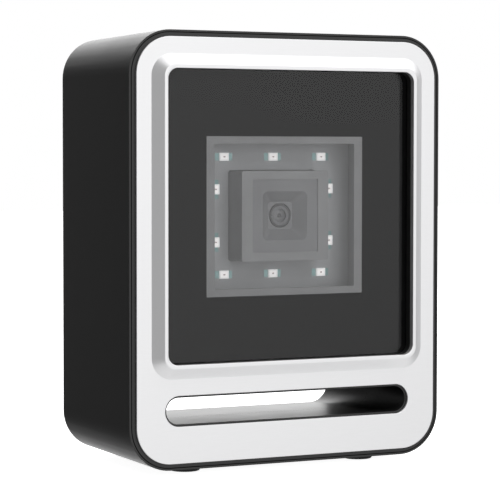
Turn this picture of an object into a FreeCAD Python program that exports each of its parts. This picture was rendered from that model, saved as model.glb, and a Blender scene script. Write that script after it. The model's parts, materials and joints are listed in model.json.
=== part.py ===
import FreeCAD, Part
import math
import os
import re
import Sketcher

# Countertop presentation scanner for bar codes: a box that stands on four feet, with a silver
# front plate, a large black-bordered window and a slot that runs right through it.
# Frame: +Z up, -Y towards the user, +X to the user's right, origin on the ground under its middle.
# Millimetres throughout.

document = FreeCAD.newDocument("presentation_scanner")
Vector = FreeCAD.Vector
QUARTER = math.pi / 2
TOWARDS_REAR = FreeCAD.Rotation(Vector(1, 0, 0), -90)
TOWARDS_FRONT = FreeCAD.Rotation(Vector(1, 0, 0), 90)

# ---------------------------------------------------------------- driving dimensions

DIMENSIONS = {
    # overall
    "body_width": 122.0,
    "body_height": 150.0,
    "body_depth": 66.1,
    "foot_height": 2.0,
    # rear housing
    "corner_radius": 15.3,
    "draft_inset": 1.0,
    "rear_edge_radius": 2.0,
    "shell_wall": 2.4,
    "lip_wall": 0.7,
    "lip_depth": 3.2,
    # front frame
    "lip_gap": 0.3,
    "frame_slab": 2.5,
    "skirt_gap": 0.3,
    "skirt_wall": 1.6,
    "skirt_depth": 5.0,
    "collar_wall": 1.0,
    # silver plate
    "plate_margin": 2.3,
    "plate_radius": 13.0,
    "plate_sheet": 0.8,
    "tape_thickness": 0.2,
    "tape_inset": 1.0,
    "tape_rim_gap": 0.5,
    "tape_slot_gap": 0.8,
    "rim_height": 3.0,
    "rim_slope": 3.7,
    "rim_lip": 1.3,
    "rim_foot_tighter": 1.0,
    "return_depth": 2.0,
    # window
    "window_side": 12.8,
    "window_sill": 36.3,
    "window_head": 13.1,
    "window_radius": 3.7,
    "window_setback": 2.0,
    "glass_thickness": 1.5,
    "glass_overlap": 2.5,
    "glass_clearance": 0.15,
    "glass_tape": 0.3,
    "glass_tape_inset": 0.4,
    "ink_thickness": 0.1,
    "clear_width": 61.6,
    "clear_height": 55.4,
    "clear_radius": 0.3,
    # slot through the body
    "slot_width": 96.0,
    "slot_height": 10.5,
    "slot_rise": 20.25,
    "tunnel_inset": 0.7,
    "tunnel_wall": 1.8,
    "tunnel_rear_width": 100.0,
    "tunnel_rear_height": 15.0,
    "tunnel_split": 30.0,
    "tunnel_gap": 0.1,
    # illumination
    "engine_drop": 0.3,
    "shroud_width": 66.0,
    "shroud_height": 60.0,
    "shroud_face": 1.5,
    "shroud_wall": 2.2,
    "shroud_radius": 2.0,
    "shroud_open_width": 55.2,
    "shroud_open_height": 50.4,
    "light_depth": 10.0,
    "board_thickness": 1.2,
    "led_length": 3.5,
    "led_width": 2.8,
    "led_height": 0.8,
    "led_wall": 0.45,
    "led_phosphor_depth": 0.4,
    "led_pitch": 19.3,
    "led_row": 20.6,
    "led_column": 22.6,
    "led_column_step": 9.25,
    "pad_length": 1.6,
    "pad_width": 2.6,
    "pad_thickness": 0.1,
    "resistor_length": 1.6,
    "resistor_width": 0.8,
    "resistor_thickness": 0.5,
    "resistor_rise": 26.6,
    # camera
    "hood_width": 34.2,
    "hood_height": 31.4,
    "hood_step_width": 25.9,
    "hood_step_height": 25.5,
    "hood_gasket": 0.4,
    "hood_clearance": 0.3,
    "hood_radius": 0.8,
    "hood_step_radius": 0.5,
    "funnel_width": 17.6,
    "funnel_height": 17.1,
    "funnel_radius": 2.0,
    "funnel_floor_radius": 1.2,
    "funnel_ledge": 0.45,
    "funnel_depth": 3.8,
    "funnel_web": 1.5,
    "barrel_radius": 4.0,
    "barrel_length": 8.0,
    "barrel_running_gap": 0.05,
    "barrel_free_gap": 0.35,
    "notch_width": 1.8,
    "notch_height": 0.9,
    "notch_depth": 0.5,
    "notch_radius": 0.1,
    "lens_radius": 2.9,
    "lens_thickness": 2.2,
    "lens_shoulder": 0.7,
    "lens_crown_gap": 0.35,
    "lens_bulge": 0.1,
    "ring_radius": 3.4,
    "ring_opening": 2.4,
    "ring_thickness": 0.8,
    "ring_recess": 0.05,
    "holder_wall": 2.45,
    "holder_gap": 1.0,
    "barrel_end_gap": 1.0,
    "sensor_distance": 16.0,
    "sensor_width": 7.6,
    "sensor_height": 6.6,
    "sensor_thickness": 1.2,
    "sensor_clearance": 0.4,
    "sensor_front_gap": 0.5,
    "sensor_board_width": 54.0,
    "sensor_board_height": 37.0,
    "engine_screw_inset": 3.6,
    "engine_screw_rise": 14.0,
    "engine_screw_length": 4.8,
    "board_radius": 2.0,
    # carrier behind the illumination board
    "chassis_height": 76.0,
    "chassis_sheet": 2.0,
    "chassis_side_gap": 0.5,
    "chassis_radius": 3.0,
    "chassis_post_radius": 2.2,
    "chassis_post_pilot": 4.0,
    "chassis_boss_radius": 2.5,
    "chassis_boss_gap": 0.2,
    "chassis_boss_pilot": 6.0,
    "chassis_screw_rise": 30.0,
    "chassis_screw_length": 7.0,
    # decoder board on the rear wall
    "decoder_width": 84.0,
    "decoder_height": 70.0,
    "decoder_thickness": 1.6,
    "decoder_screw_inset": 4.0,
    "decoder_screw_length": 7.0,
    "decoder_post_radius": 2.6,
    "decoder_post_pilot": 6.0,
    "chip_rise": 4.0,
    "processor_side": 14.0,
    "processor_thickness": 1.4,
    "processor_across": 14.0,
    "memory_width": 9.0,
    "memory_height": 7.0,
    "memory_thickness": 1.0,
    "memory_across": 4.0,
    "memory_pitch": 12.0,
    "capacitor_radius": 3.1,
    "capacitor_length": 7.0,
    "capacitor_drop": 14.0,
    "capacitor_across": 28.0,
    "capacitor_pitch": 9.0,
    "connector_width": 16.0,
    "connector_depth": 2.2,
    "connector_height": 4.0,
    "connector_drop": 10.0,
    "ribbon_width": 13.0,
    "ribbon_sheet": 0.3,
    "ribbon_bite": 1.0,
    "ribbon_drop": 8.0,
    "socket_width": 16.0,
    "socket_height": 13.4,
    "socket_length": 15.0,
    "socket_recess": 0.5,
    "socket_rise": 9.0,
    "socket_gap": 0.2,
    "jack_width": 11.8,
    "jack_height": 7.2,
    "jack_depth": 11.5,
    "jack_rise": 1.0,
    "jack_radius": 0.2,
    "socket_radius": 0.4,
    "latch_width": 6.0,
    "latch_height": 3.0,
    "latch_drop": 0.5,
    "contact_side": 0.4,
    "contact_length": 6.0,
    "contact_inset": 9.0,
    "contact_pitch": 1.02,
    "buzzer_radius": 6.0,
    "buzzer_thickness": 6.0,
    "buzzer_across": 26.0,
    "buzzer_rise": 18.0,
    "sound_hole_radius": 0.9,
    "sound_hole_pitch": 3.4,
    # fasteners
    "case_screw_radius": 1.5,
    "case_boss_radius": 3.5,
    "case_screw_inset_x": 21.0,
    "case_boss_gap": 0.1,
    "case_screw_gap": 0.2,
    "case_screw_ledge": 3.0,
    "case_screw_tip_gap": 1.0,
    "case_counterbore_gap": 0.2,
    "case_screw_bite": 9.0,
    "small_screw_radius": 1.0,
    "small_screw_gap": 0.1,
    "pierce": 0.1,
    # feet
    "foot_radius": 5.3,
    "foot_seat": 1.4,
    "foot_gap": 0.1,
    "foot_spread": 34.6,
    "foot_front": 13.0,
    "foot_rear": 13.1,
    "foot_edge": 0.6,
}

# Places and sizes that follow from the driving dimensions. Depths are along +Y, rises along +Z.
DERIVED = {
    # depths, from the user's side to the rear
    "rim_top": "-body_depth / 2",
    "plate_face": "rim_top + rim_height",
    "frame_face": "plate_face + plate_sheet + tape_thickness",
    "frame_back": "frame_face + frame_slab",
    "collar_face": "rim_top + return_depth",
    "glass_face": "plate_face + window_setback",
    "glass_back": "glass_face + glass_thickness",
    "ink_back": "glass_back + ink_thickness",
    "hood_face": "ink_back + hood_gasket",
    "led_board_face": "ink_back + light_depth",
    "chassis_face": "led_board_face + board_thickness",
    "chassis_back": "chassis_face + chassis_sheet",
    "barrel_face": "hood_face + funnel_depth",
    "sensor_board_face": "hood_face + sensor_distance",
    "sensor_board_back": "sensor_board_face + board_thickness",
    "rear": "body_depth / 2",
    "rear_inside": "rear - shell_wall",
    "decoder_back": "rear - socket_recess - socket_length",
    "decoder_face": "decoder_back - decoder_thickness",
    "tunnel_middle": "plate_face + tunnel_split",
    "boss_meet": "plate_face + tunnel_split",
    # rises
    "body_middle": "foot_height + body_height / 2",
    "window_middle": "foot_height + (window_sill + body_height - window_head) / 2",
    "engine_middle": "window_middle - engine_drop",
    "slot_middle": "foot_height + slot_rise",
    "decoder_middle": "window_middle",
    "socket_middle": "decoder_middle - decoder_height / 2 + socket_rise",
    # widths and heights
    "rim_foot_radius": "window_radius + rim_lip + rim_slope - rim_foot_tighter",
    "funnel_floor": "2 * (barrel_radius + barrel_free_gap + funnel_ledge)",
    "holder_side": "2 * (barrel_radius + barrel_running_gap + holder_wall)",
    "window_width": "body_width - 2 * window_side",
    "window_height": "body_height - window_sill - window_head",
    "plate_width": "body_width - 2 * plate_margin",
    "plate_height": "body_height - 2 * plate_margin",
    "glass_width": "window_width + 2 * glass_overlap",
    "glass_height": "window_height + 2 * glass_overlap",
    "housing_length": "rear - frame_face",
    "draft_angle": "atan(draft_inset / housing_length) / 1 deg",
    "rim_angle": "atan(rim_slope / rim_height) / 1 deg",
    "split_share": "tunnel_split / (rear - plate_face)",
    "tunnel_width": "slot_width - 2 * tunnel_inset",
    "tunnel_height": "slot_height - 2 * tunnel_inset",
    "tunnel_mid_width": "tunnel_width + (tunnel_rear_width - tunnel_width) * split_share",
    "tunnel_mid_height": "tunnel_height + (tunnel_rear_height - tunnel_height) * split_share",
    "chassis_width": "body_width - 2 * (shell_wall + skirt_gap + skirt_wall + chassis_side_gap)",
    "chassis_screw_spread":
        "glass_width / 2 + glass_clearance + chassis_boss_radius + chassis_boss_gap",
    "case_screw_spread": "body_width / 2 - case_screw_inset_x",
    "draft_at_bosses": "draft_inset * (boss_meet - frame_face) / housing_length",
    "case_boss_inset": "shell_wall + draft_at_bosses + case_boss_gap + case_boss_radius",
    "case_screw_low": "foot_height + case_boss_inset",
    "case_screw_high": "foot_height + body_height - case_boss_inset",
}

ALIASES = {name: "Dims." + name for name in DIMENSIONS}
ALIASES.update({name: "Places." + name for name in DERIVED})


def cells(text):
    """The same formula, with each word that names a cell pointing at its sheet."""
    return re.sub(r"[A-Za-z_]+", lambda word: ALIASES.get(word.group(), word.group()), str(text))


def sheet(name, values):
    """A spreadsheet with one alias per row; each value is a plain number or a formula."""
    table = document.addObject("Spreadsheet::Sheet", name)
    for row, (alias, content) in enumerate(values.items(), 1):
        table.set(f"A{row}", alias)
        table.set(f"B{row}", str(content))
        table.setAlias(f"B{row}", alias)
    document.recompute()
    return table


dims = sheet("Dims", DIMENSIONS)
places = sheet("Places", {name: "=" + cells(formula) for name, formula in DERIVED.items()})
sub_parts = []


def value(text):
    """The number that a formula gives with the sheets as they are."""
    return float(places.evalExpression(cells(text)))


def bind(thing, path, formula):
    thing.setExpression(path, cells(formula))


def keep(thing, label):
    """Marks an object as a finished sub-part and gives it its name."""
    thing.Label = label
    sub_parts.append(thing)
    return thing


# ---------------------------------------------------------------- sketches

def new_body(label):
    return keep(document.addObject("PartDesign::Body", "body_" + label), label)


def new_sketch(body, name, offset, plane="XZ_Plane"):
    """A sketch parallel to one of the body's origin planes, at an offset along its axis.
    On XZ_Plane sketch x is X and sketch y is Z; on XY_Plane they are X and Y."""
    base = [item for item in body.Origin.OriginFeatures if item.Role == plane][0]
    sketch = body.newObject("Sketcher::SketchObject", name)
    sketch.AttachmentSupport = (base, [""])
    sketch.MapMode = "FlatFace"
    sign = "-" if plane == "XZ_Plane" else ""
    bind(sketch, "AttachmentOffset.Base.z", f"{sign}({offset})")
    return sketch


def constrain(sketch, constraint, formula=None):
    index = sketch.addConstraint(constraint)
    if formula is not None:
        sketch.setExpression(f"Constraints[{index}]", cells(formula))


def line(start, end):
    return Part.LineSegment(Vector(*start, 0), Vector(*end, 0))


def arc(centre, radius, start, end):
    return Part.ArcOfCircle(Part.Circle(Vector(*centre, 0), Vector(0, 0, 1), radius), start, end)


def add_rounded_rectangle(sketch, width, height, radius, across="0", up="body_middle"):
    """A rectangle with rounded corners, centred at (across, up)."""
    w, r = value(width) / 2, value(radius)
    h = value(height) / 2
    x, z = value(across), value(up)
    left, right, low, high = x - w, x + w, z - h, z + h
    shapes = (
        line((left + r, low), (right - r, low)),
        arc((right - r, low + r), r, -QUARTER, 0),
        line((right, low + r), (right, high - r)),
        arc((right - r, high - r), r, 0, QUARTER),
        line((right - r, high), (left + r, high)),
        arc((left + r, high - r), r, QUARTER, 2 * QUARTER),
        line((left, high - r), (left, low + r)),
        arc((left + r, low + r), r, 2 * QUARTER, 3 * QUARTER),
    )
    ids = [sketch.addGeometry(shape, False) for shape in shapes]
    for place, item in enumerate(ids):
        constrain(sketch, Sketcher.Constraint("Tangent", item, 2, ids[(place + 1) % 8], 1))
    for place in (0, 4):
        constrain(sketch, Sketcher.Constraint("Horizontal", ids[place]))
    for place in (2, 6):
        constrain(sketch, Sketcher.Constraint("Vertical", ids[place]))
    for place in (3, 5, 7):
        constrain(sketch, Sketcher.Constraint("Equal", ids[1], ids[place]))
    constrain(sketch, Sketcher.Constraint("DistanceX", ids[6], 1, ids[2], 1, 2 * w), width)
    constrain(sketch, Sketcher.Constraint("DistanceY", ids[0], 1, ids[4], 1, 2 * h), height)
    constrain(sketch, Sketcher.Constraint("Radius", ids[1], r), radius)
    right_side = f"({across}) + ({width}) / 2"
    top_side = f"({up}) + ({height}) / 2"
    constrain(sketch, Sketcher.Constraint("DistanceX", -1, 1, ids[2], 1, right), right_side)
    constrain(sketch, Sketcher.Constraint("DistanceY", -1, 1, ids[4], 1, high), top_side)
    return sketch


def add_stadium(sketch, width, height, up):
    """A slot outline with round ends, lying along X and centred on the body."""
    r, z = value(height) / 2, value(up)
    half = value(width) / 2 - r
    shapes = (
        line((-half, z - r), (half, z - r)),
        arc((half, z), r, -QUARTER, QUARTER),
        line((half, z + r), (-half, z + r)),
        arc((-half, z), r, QUARTER, 3 * QUARTER),
    )
    ids = [sketch.addGeometry(shape, False) for shape in shapes]
    for place, item in enumerate(ids):
        constrain(sketch, Sketcher.Constraint("Tangent", item, 2, ids[(place + 1) % 4], 1))
    constrain(sketch, Sketcher.Constraint("Horizontal", ids[0]))
    constrain(sketch, Sketcher.Constraint("Radius", ids[1], r), f"({height}) / 2")
    centre_x = f"({width} - {height}) / 2"
    constrain(sketch, Sketcher.Constraint("DistanceX", -1, 1, ids[1], 3, half), centre_x)
    constrain(sketch, Sketcher.Constraint("DistanceY", -1, 1, ids[1], 3, z), up)
    constrain(sketch, Sketcher.Constraint("DistanceX", ids[3], 3, ids[1], 3, 2 * half),
              f"{width} - {height}")
    return sketch


def add_circle(sketch, radius, across, up):
    """One circle at (across, up), both of them formulas."""
    x, z, r = value(across), value(up), value(radius)
    item = sketch.addGeometry(Part.Circle(Vector(x, z, 0), Vector(0, 0, 1), r), False)
    constrain(sketch, Sketcher.Constraint("Radius", item, r), radius)
    constrain(sketch, Sketcher.Constraint("DistanceX", -1, 1, item, 3, x), across)
    constrain(sketch, Sketcher.Constraint("DistanceY", -1, 1, item, 3, z), up)
    return sketch


# ---------------------------------------------------------------- features

def pad(body, sketch, length, taper=None, back=True):
    """Adds material from the sketch: towards the rear, or forwards with back=False."""
    feature = body.newObject("PartDesign::Pad", sketch.Name + "_pad")
    feature.Profile = sketch
    feature.Reversed = back
    bind(feature, "Length", length)
    if taper is not None:
        bind(feature, "TaperAngle", taper)
    return feature


def pocket(body, sketch, length, taper=None, forward=False):
    """Removes material from the sketch: towards the rear, or forwards with forward=True."""
    document.recompute()
    before = body.Shape.Volume
    feature = body.newObject("PartDesign::Pocket", sketch.Name + "_pocket")
    feature.Profile = sketch
    feature.Reversed = forward
    bind(feature, "Length", length)
    if taper is not None:
        bind(feature, "TaperAngle", taper)
    document.recompute()
    if body.Shape.Volume >= before:
        raise RuntimeError(sketch.Name + " removes nothing")
    return feature


def loft(body, kind, sections):
    feature = body.newObject("PartDesign::" + kind, sections[0].Name + "_loft")
    feature.Profile = sections[0]
    feature.Sections = sections[1:]
    feature.Ruled = True
    return feature


def block(name, size, corner):
    """A box by its three sizes and its lowest corner, all formulas."""
    solid = document.addObject("Part::Box", name)
    for side, formula in zip(("Length", "Width", "Height"), size):
        bind(solid, side, formula)
    for axis, formula in zip("xyz", corner):
        bind(solid, "Placement.Base." + axis, formula)
    return solid


def plate(name, width, thickness, height, face, across="0", up="engine_middle"):
    """A box centred at (across, up) whose front face is at depth face."""
    corner = (f"({across}) - ({width}) / 2", face, f"({up}) - ({height}) / 2")
    return block(name, (width, thickness, height), corner)


def rod(name, radius, length, across, face, up, turn=TOWARDS_REAR):
    """A cylinder that lies along Y and starts at depth face."""
    solid = document.addObject("Part::Cylinder", name)
    solid.Placement = FreeCAD.Placement(Vector(0, 0, 0), turn)
    bind(solid, "Radius", radius)
    bind(solid, "Height", length)
    for axis, formula in zip("xyz", (across, face, up)):
        bind(solid, "Placement.Base." + axis, formula)
    return solid


def cut(name, base, tool):
    solid = document.addObject("Part::Cut", name)
    solid.Base = base
    solid.Tool = tool
    return solid


def fuse(name, pieces):
    solid = document.addObject("Part::MultiFuse", name)
    solid.Shapes = pieces
    return solid


def group(label, pieces):
    """Separate solids of one kind, kept as one sub-part."""
    solid = document.addObject("Part::Compound", "group_" + label)
    solid.Links = pieces
    return keep(solid, label)


def corners(spread, low, high):
    """Four places, left and right of the middle at two heights."""
    return [(f"{sign}({spread})", up) for up in (low, high) for sign in ("-", "+")]


# ---------------------------------------------------------------- casing

CASE_SCREWS = corners("case_screw_spread", "case_screw_low", "case_screw_high")
BOARD_SCREWS = corners("decoder_width / 2 - decoder_screw_inset",
                       "decoder_middle - decoder_height / 2 + decoder_screw_inset",
                       "decoder_middle + decoder_height / 2 - decoder_screw_inset")
CHASSIS_SCREWS = corners("chassis_screw_spread", "engine_middle - chassis_screw_rise",
                         "engine_middle + chassis_screw_rise")
ENGINE_SCREWS = corners("sensor_board_width / 2 - engine_screw_inset",
                        "engine_middle - engine_screw_rise", "engine_middle + engine_screw_rise")
BUZZER_PLACE = ("buzzer_across", "decoder_middle + buzzer_rise")


def make_rear_housing():
    """Moulded black shell: drafted walls, thin front lip, the rear half of the slot tunnel,
    screw bosses, board posts, sound holes and the socket's opening."""
    body = new_body("rear_housing")
    outline = new_sketch(body, "housing_outline", "frame_face")
    add_rounded_rectangle(outline, "body_width", "body_height", "corner_radius")
    shell = pad(body, outline, "housing_length", taper="-draft_angle")
    document.recompute()
    rear_edges = [f"Edge{number}" for number, edge in enumerate(shell.Shape.Edges, 1)
                  if edge.BoundBox.YMin > value("rear") - 0.01]
    rounding = body.newObject("PartDesign::Fillet", "housing_rear_rounding")
    rounding.Base = (shell, rear_edges)
    bind(rounding, "Radius", "rear_edge_radius")

    inside = new_sketch(body, "housing_inside", "frame_face")
    add_rounded_rectangle(inside, "body_width - 2 * shell_wall", "body_height - 2 * shell_wall",
                          "corner_radius - shell_wall")
    pocket(body, inside, "rear_inside - frame_face", taper="-draft_angle")
    mouth = new_sketch(body, "housing_mouth", "frame_face")
    add_rounded_rectangle(mouth, "body_width - 2 * lip_wall", "body_height - 2 * lip_wall",
                          "corner_radius - lip_wall")
    pocket(body, mouth, "lip_depth")

    wall = []
    for name, width, height, depth in (
            ("wall_middle", "tunnel_mid_width", "tunnel_mid_height", "tunnel_middle + tunnel_gap"),
            ("wall_rear", "tunnel_rear_width", "tunnel_rear_height", "rear_inside")):
        section = new_sketch(body, "housing_tunnel_" + name, depth)
        wall.append(add_stadium(section, f"({width} + 2 * tunnel_wall)",
                                f"({height} + 2 * tunnel_wall)", "slot_middle"))
    loft(body, "AdditiveLoft", wall)

    posts = new_sketch(body, "housing_bosses", "rear_inside")
    for across, up in CASE_SCREWS:
        add_circle(posts, "case_boss_radius", across, up)
    pad(body, posts, "rear_inside - boss_meet", back=False)
    standoffs = new_sketch(body, "housing_standoffs", "rear_inside")
    for across, up in BOARD_SCREWS:
        add_circle(standoffs, "decoder_post_radius", across, up)
    pad(body, standoffs, "rear_inside - decoder_back", back=False)

    bore = []
    for name, width, height, depth in (
            ("bore_middle", "tunnel_mid_width", "tunnel_mid_height", "tunnel_middle"),
            ("bore_rear", "tunnel_rear_width", "tunnel_rear_height", "rear + pierce")):
        section = new_sketch(body, "housing_tunnel_" + name, depth)
        bore.append(add_stadium(section, width, height, "slot_middle"))
    loft(body, "SubtractiveLoft", bore)

    for name, places_, radius, depth, length in (
            ("case_holes", CASE_SCREWS, "case_screw_radius + case_screw_gap", "rear",
             "rear - boss_meet"),
            ("case_counterbores", CASE_SCREWS, "2 * case_screw_radius + case_counterbore_gap",
             "rear", "rear - boss_meet - case_screw_ledge"),
            ("post_holes", BOARD_SCREWS, "small_screw_radius",
             "decoder_back + decoder_post_pilot", "decoder_post_pilot")):
        holes = new_sketch(body, "housing_" + name, depth)
        for across, up in places_:
            add_circle(holes, radius, across, up)
        pocket(body, holes, length, forward=True)

    sound = new_sketch(body, "housing_sound_holes", "rear")
    for column in (-1, 0, 1):
        for row in (-1, 0, 1):
            add_circle(sound, "sound_hole_radius",
                       f"{BUZZER_PLACE[0]} + {column} * sound_hole_pitch",
                       f"{BUZZER_PLACE[1]} + {row} * sound_hole_pitch")
    pocket(body, sound, "shell_wall + pierce", forward=True)
    inlet = new_sketch(body, "housing_socket_opening", "rear")
    add_rounded_rectangle(inlet, "socket_width + 2 * socket_gap", "socket_height + 2 * socket_gap",
                          "socket_radius + socket_gap", up="socket_middle")
    pocket(body, inlet, "shell_wall + pierce", forward=True)

    seats = new_sketch(body, "housing_foot_seats", "0", plane="XY_Plane")
    for sign in ("-", "+"):
        for depth in ("plate_face + foot_front", "rear - foot_rear"):
            add_circle(seats, "foot_radius + foot_gap", f"{sign}foot_spread", depth)
    pocket(body, seats, "foot_height + foot_seat", forward=True)


def make_front_frame():
    """Moulded black frame behind the silver plate: slab, skirt inside the housing, collar round
    the window, glass seat, bosses and the front half of the slot tunnel."""
    body = new_body("front_frame")
    slab = new_sketch(body, "frame_slab_outline", "frame_face")
    inset = "(lip_wall + lip_gap)"
    add_rounded_rectangle(slab, f"body_width - 2 * {inset}", f"body_height - 2 * {inset}",
                          f"corner_radius - {inset}")
    pad(body, slab, "frame_slab")
    skirt = new_sketch(body, "frame_skirt_outline", "frame_back")
    for inset in ("(shell_wall + skirt_gap)", "(shell_wall + skirt_gap + skirt_wall)"):
        add_rounded_rectangle(skirt, f"body_width - 2 * {inset}", f"body_height - 2 * {inset}",
                              f"corner_radius - {inset}")
    pad(body, skirt, "skirt_depth")
    collar = new_sketch(body, "frame_collar_outline", "frame_face")
    add_rounded_rectangle(collar, "window_width + 2 * collar_wall", "window_height + 2 * collar_wall",
                          "window_radius + collar_wall", up="window_middle")
    pad(body, collar, "frame_face - collar_face", back=False)

    wall = []
    for name, width, height, depth in (
            ("wall_front", "tunnel_width", "tunnel_height", "frame_back"),
            ("wall_middle", "tunnel_mid_width", "tunnel_mid_height", "tunnel_middle")):
        section = new_sketch(body, "frame_tunnel_" + name, depth)
        wall.append(add_stadium(section, f"({width} + 2 * tunnel_wall)",
                                f"({height} + 2 * tunnel_wall)", "slot_middle"))
    loft(body, "AdditiveLoft", wall)
    bosses = new_sketch(body, "frame_case_bosses", "frame_back")
    for across, up in CASE_SCREWS:
        add_circle(bosses, "case_boss_radius", across, up)
    pad(body, bosses, "boss_meet - frame_back")
    bosses = new_sketch(body, "frame_chassis_bosses", "frame_back")
    for across, up in CHASSIS_SCREWS:
        add_circle(bosses, "chassis_boss_radius", across, up)
    pad(body, bosses, "chassis_face - frame_back")

    bore = []
    for name, width, height, depth in (
            ("bore_front", "tunnel_width", "tunnel_height", "frame_face"),
            ("bore_middle", "tunnel_mid_width", "tunnel_mid_height", "tunnel_middle")):
        section = new_sketch(body, "frame_tunnel_" + name, depth)
        bore.append(add_stadium(section, width, height, "slot_middle"))
    loft(body, "SubtractiveLoft", bore)
    opening = new_sketch(body, "frame_window_opening", "collar_face")
    add_rounded_rectangle(opening, "window_width", "window_height", "window_radius",
                          up="window_middle")
    pocket(body, opening, "frame_back - collar_face")
    seat = new_sketch(body, "frame_glass_seat", "glass_face - glass_tape")
    add_rounded_rectangle(seat, "glass_width + 2 * glass_clearance",
                          "glass_height + 2 * glass_clearance", "window_radius + glass_overlap",
                          up="window_middle")
    pocket(body, seat, "frame_back - glass_face + glass_tape")
    for name, places_, radius, depth, length in (
            ("case_pilots", CASE_SCREWS, "case_screw_radius", "boss_meet", "case_screw_bite"),
            ("chassis_pilots", CHASSIS_SCREWS, "small_screw_radius", "chassis_face",
             "chassis_boss_pilot")):
        holes = new_sketch(body, "frame_" + name, depth)
        for across, up in places_:
            add_circle(holes, radius, across, up)
        pocket(body, holes, length, forward=True)


def make_bezel():
    """Pressed silver plate with a raised, folded-in rim round the window, and its tape."""
    body = new_body("bezel_plate")
    outline = new_sketch(body, "bezel_outline", "plate_face")
    add_rounded_rectangle(outline, "plate_width", "plate_height", "plate_radius")
    pad(body, outline, "plate_sheet")
    reach = "2 * (rim_lip + rim_slope)"
    rim = new_sketch(body, "bezel_rim", "plate_face")
    add_rounded_rectangle(rim, f"window_width + {reach}", f"window_height + {reach}",
                          "rim_foot_radius", up="window_middle")
    pad(body, rim, "rim_height", taper="-rim_angle", back=False)
    hollow = new_sketch(body, "bezel_rim_hollow", "plate_face + plate_sheet")
    add_rounded_rectangle(hollow, f"window_width + {reach}", f"window_height + {reach}",
                          "rim_foot_radius", up="window_middle")
    pocket(body, hollow, "rim_height", taper="-rim_angle", forward=True)
    opening = new_sketch(body, "bezel_window_opening", "rim_top")
    add_rounded_rectangle(opening, "window_width", "window_height", "window_radius",
                          up="window_middle")
    pocket(body, opening, "rim_height + plate_sheet")
    fold = new_sketch(body, "bezel_fold", "rim_top + plate_sheet")
    for grow in ("0", "plate_sheet"):
        add_rounded_rectangle(fold, f"window_width + 2 * {grow}", f"window_height + 2 * {grow}",
                              f"window_radius + {grow}", up="window_middle")
    pad(body, fold, "return_depth - plate_sheet")
    slot = new_sketch(body, "bezel_slot", "plate_face")
    add_stadium(slot, "slot_width", "slot_height", "slot_middle")
    pocket(body, slot, "plate_sheet")

    body = new_body("bezel_tape")
    inset = "(plate_margin + tape_inset)"
    tape = new_sketch(body, "tape_outline", "plate_face + plate_sheet")
    add_rounded_rectangle(tape, f"body_width - 2 * {inset}", f"body_height - 2 * {inset}",
                          "plate_radius - tape_inset")
    reach = "2 * (rim_lip + rim_slope + tape_rim_gap)"
    add_rounded_rectangle(tape, f"window_width + {reach}", f"window_height + {reach}",
                          "rim_foot_radius + tape_rim_gap", up="window_middle")
    add_stadium(tape, "(slot_width + 2 * tape_slot_gap)", "(slot_height + 2 * tape_slot_gap)",
                "slot_middle")
    pad(body, tape, "tape_thickness")


def make_window():
    """Flat glass, the black ink printed on its back and the tape that holds it to the frame."""
    corner = "window_radius + glass_overlap - glass_clearance"
    body = new_body("scan_window")
    outline = new_sketch(body, "glass_outline", "glass_face")
    add_rounded_rectangle(outline, "glass_width", "glass_height", corner, up="window_middle")
    pad(body, outline, "glass_thickness")

    body = new_body("window_border")
    ink = new_sketch(body, "ink_outline", "glass_back")
    add_rounded_rectangle(ink, "glass_width", "glass_height", corner, up="window_middle")
    add_rounded_rectangle(ink, "clear_width", "clear_height", "clear_radius", up="engine_middle")
    pad(body, ink, "ink_thickness")

    body = new_body("window_tape")
    tape = new_sketch(body, "glass_tape_outline", "glass_face - glass_tape")
    add_rounded_rectangle(tape, "glass_width", "glass_height", corner, up="window_middle")
    add_rounded_rectangle(tape, "window_width + 2 * glass_tape_inset",
                          "window_height + 2 * glass_tape_inset",
                          "window_radius + glass_tape_inset", up="window_middle")
    pad(body, tape, "glass_tape")


def make_feet():
    """Four round rubber feet, each seated in a recess under the housing."""
    for side, sign in (("left", "-"), ("right", "+")):
        for end, depth in (("front", "plate_face + foot_front"), ("rear", "rear - foot_rear")):
            body = new_body(f"foot_{end}_{side}")
            disc = new_sketch(body, f"foot_{end}_{side}_outline", "0", plane="XY_Plane")
            add_circle(disc, "foot_radius", f"{sign}foot_spread", depth)
            solid = pad(body, disc, "foot_height + foot_seat", back=False)
            document.recompute()
            low = [f"Edge{number}" for number, edge in enumerate(solid.Shape.Edges, 1)
                   if edge.BoundBox.ZMax < 0.01]
            rounding = body.newObject("PartDesign::Fillet", f"foot_{end}_{side}_rounding")
            rounding.Base = (solid, low)
            bind(rounding, "Radius", "foot_edge")


# ---------------------------------------------------------------- illumination

def led_places():
    """Centre and lying direction of each LED: two rows of three and two columns of two."""
    found = []
    for sign in ("-", "+"):
        for across in ("-led_pitch", "0", "led_pitch"):
            found.append((across, f"engine_middle {sign} led_row", True))
        for up in ("-", "+"):
            found.append((f"{sign}led_column", f"engine_middle {up} led_column_step", False))
    return found


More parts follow.
